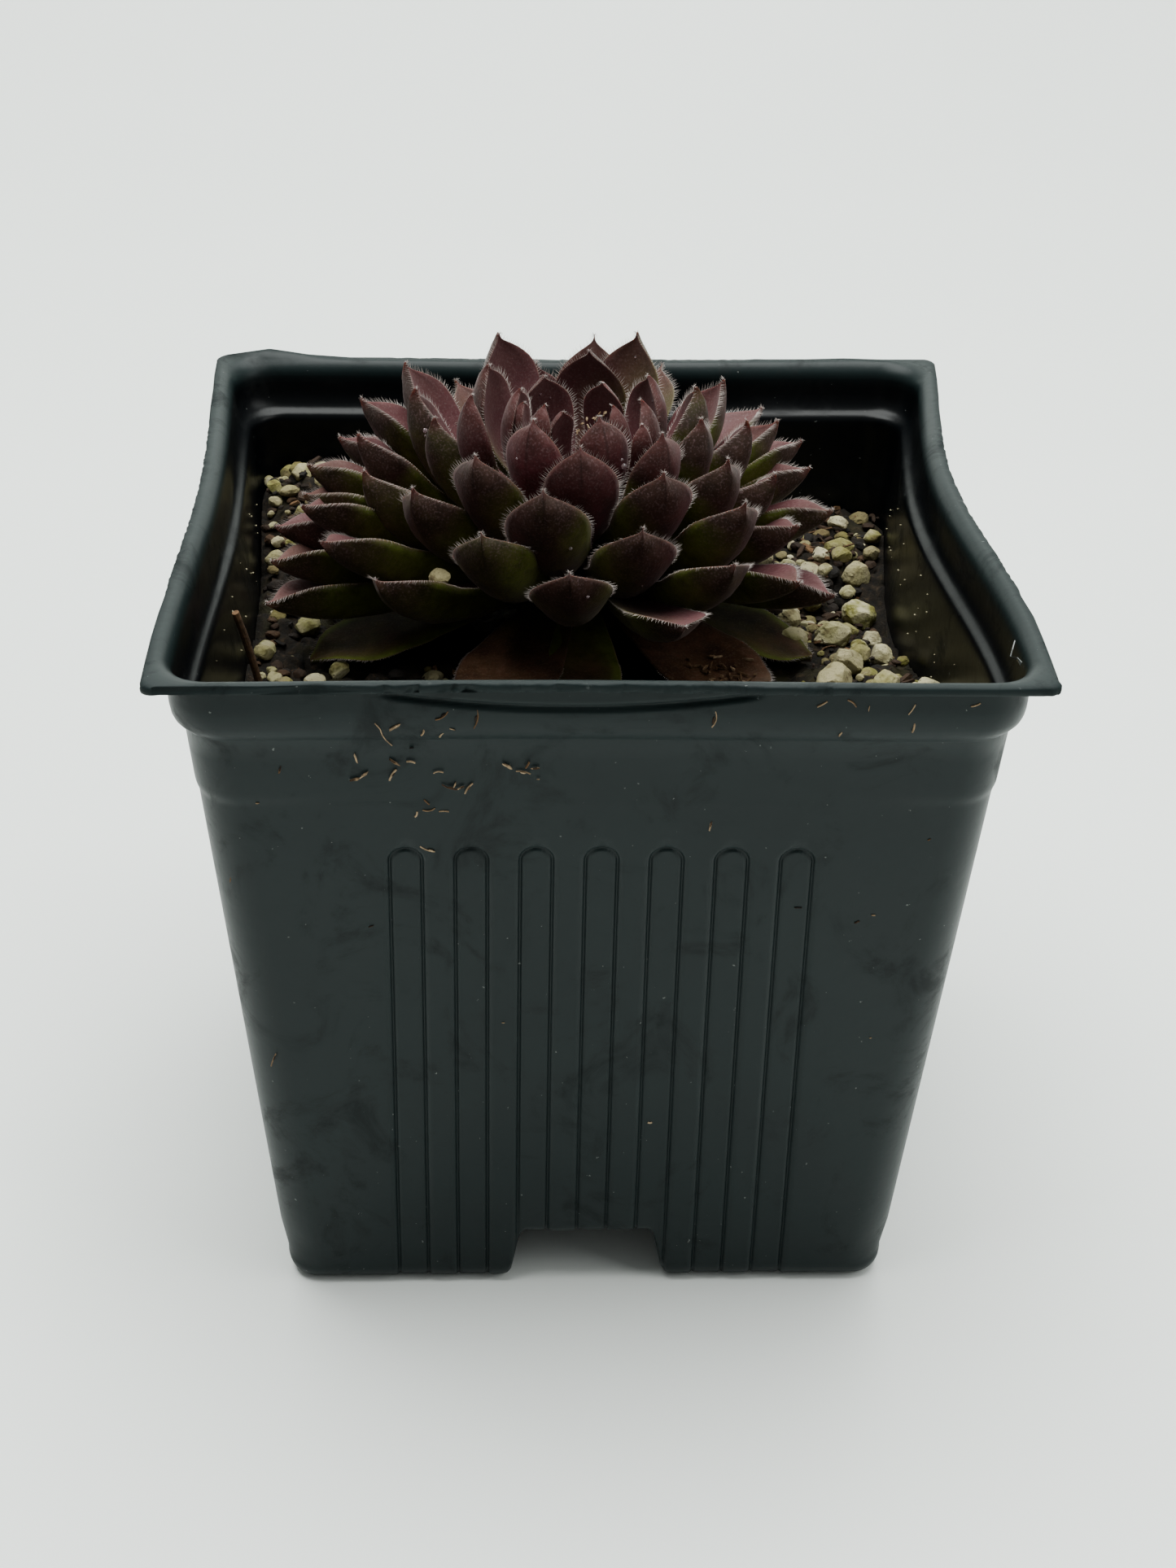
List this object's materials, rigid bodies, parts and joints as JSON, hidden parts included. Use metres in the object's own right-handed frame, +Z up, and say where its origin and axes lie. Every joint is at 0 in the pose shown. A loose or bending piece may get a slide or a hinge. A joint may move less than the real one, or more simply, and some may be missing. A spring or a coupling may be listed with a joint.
{
  "type": "potted houseleek",
  "caption": "Dense rosette of pointed, hair-edged succulent leaves, growing in gritty potting mix in a square black thermoformed nursery pot.",
  "frame": {"origin": "on the ground, under the middle of the square pot", "axes": "+Z up; -Y is the pot's pictured front, with +X to the right seen from there"},
  "size_m": [0.089, 0.089, 0.0941],
  "materials": {
    "pot_plastic": "satin black thermoformed sheet, glossier inside",
    "potting_mix": "rough, matt, dark bark with pale grains",
    "stem_bark": "matt bark",
    "old_leaf": "dull, ageing leaf",
    "rosette_leaf": "fleshy leaf with fine hairs, soft sheen"
  },
  "bodies": {
    "root": {"pot": "pot_plastic", "soil": "potting_mix", "stem": "stem_bark", "old_leaves": "old_leaf", "rosette": "rosette_leaf"}
  },
  "joints": []
}
